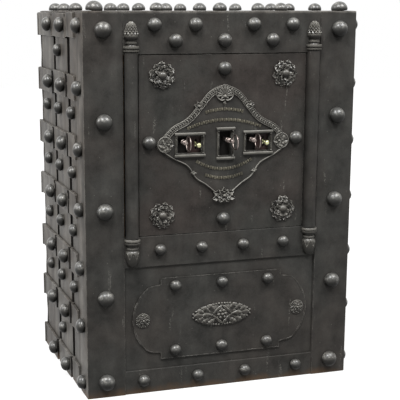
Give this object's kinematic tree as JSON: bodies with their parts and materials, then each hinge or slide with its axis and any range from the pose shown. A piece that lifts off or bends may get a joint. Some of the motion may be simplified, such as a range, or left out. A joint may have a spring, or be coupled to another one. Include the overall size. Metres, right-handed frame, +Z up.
{
  "type": "studded iron safe",
  "caption": "Upright riveted iron safe with a side-hung door on a turned column, three keys, throw bolts, two sliding knobs and an oak-lined compartment with a shelf.",
  "frame": {"origin": "centre of the footprint on the floor", "axes": "+Z up, front face towards -Y, +X to the right seen from the front"},
  "size_m": [0.6482, 0.5098, 0.8243],
  "materials": {
    "plate_iron": "dark graphite paint, satin, worn",
    "strap_iron": "dark grey paint on hammered iron",
    "stud_iron": "dark grey, slightly glossy from handling",
    "cast_iron_ornament": "cast relief with worn high points",
    "brown_plate": "brown-black paint",
    "bright_steel": "polished by use",
    "brass": "polished",
    "oak": "plain oiled oak"
  },
  "bodies": {
    "cabinet": {"back_bands": "strap_iron", "back_board": "oak", "back_plate": "plate_iron", "back_straps": "strap_iron", "back_studs": "stud_iron", "bottom_plate": "plate_iron", "bottom_rail": "plate_iron", "centre_ornament": "cast_iron_ornament", "corner_studs": "stud_iron", "door_head_and_sill": "oak", "floor_and_ceiling_boards": "oak", "front_frame": "plate_iron", "front_studs": "stud_iron", "hinge_pins": "bright_steel", "left_corner_angle": "plate_iron", "left_jamb": "oak", "left_side_bands": "strap_iron", "left_side_plate": "plate_iron", "left_side_straps": "strap_iron", "left_side_studs": "stud_iron", "lower_finials": "cast_iron_ornament", "lower_panel": "plate_iron", "lower_plaque": "plate_iron", "mid_rail": "plate_iron", "right_column_shaft": "plate_iron", "right_corner_angle": "plate_iron", "right_jamb": "oak", "right_side_bands": "strap_iron", "right_side_plate": "plate_iron", "right_side_straps": "strap_iron", "right_side_studs": "stud_iron", "shelf": "oak", "shelf_battens": "oak", "side_linings": "oak", "small_rosettes": "cast_iron_ornament", "top_plate": "plate_iron", "top_rail": "plate_iron", "top_straps": "strap_iron", "top_studs": "stud_iron", "upper_finials": "cast_iron_ornament"},
    "door": {"door_plate": "plate_iron", "door_casing": "plate_iron", "door_back_cover": "plate_iron", "left_column_shaft": "plate_iron", "lock_plate": "plate_iron", "lock_border": "cast_iron_ornament", "window_frames": "cast_iron_ornament", "key_plates": "brown_plate", "lock_case": "plate_iron", "lock_cover": "plate_iron", "bolt_guides": "bright_steel", "door_studs": "stud_iron", "door_rosettes": "cast_iron_ornament"},
    "bolts": {"bolt_bar": "bright_steel"},
    "centre_key": {"centre_key": "bright_steel"},
    "left_key": {"left_key": "bright_steel"},
    "right_key": {"right_key": "bright_steel"},
    "left_knob": {"left_knob": "brass"},
    "right_knob": {"right_knob": "brass"}
  },
  "joints": [
    {"name": "door_hinge", "type": "hinge", "parent": "cabinet", "child": "door", "pos_m": [-0.201, -0.207, 0.5325], "axis": [0, 0, 1], "range_deg": [-100, 0]},
    {"name": "centre_key_turn", "type": "hinge", "parent": "door", "child": "centre_key", "pos_m": [0.003, -0.21, 0.541], "axis": [0, 1, 0], "range_deg": [0, 180]},
    {"name": "bolt_slide", "type": "slide", "parent": "door", "child": "bolts", "axis": [1, 0, 0], "range_m": [0, 0.025]},
    {"name": "left_key_turn", "type": "hinge", "parent": "door", "child": "left_key", "pos_m": [-0.092, -0.21, 0.539], "axis": [0, 1, 0], "range_deg": [0, 90]},
    {"name": "right_key_turn", "type": "hinge", "parent": "door", "child": "right_key", "pos_m": [0.06, -0.21, 0.539], "axis": [0, 1, 0], "range_deg": [0, 90]},
    {"name": "left_knob_slide", "type": "slide", "parent": "door", "child": "left_knob", "axis": [0, 0, 1], "range_m": [-0.009, 0.009]},
    {"name": "right_knob_slide", "type": "slide", "parent": "door", "child": "right_knob", "axis": [0, 0, 1], "range_m": [-0.009, 0.009]}
  ],
  "couplings": [
    {"joint": "centre_key_turn", "follows": "bolt_slide", "rad_per_m": 125.6}
  ]
}
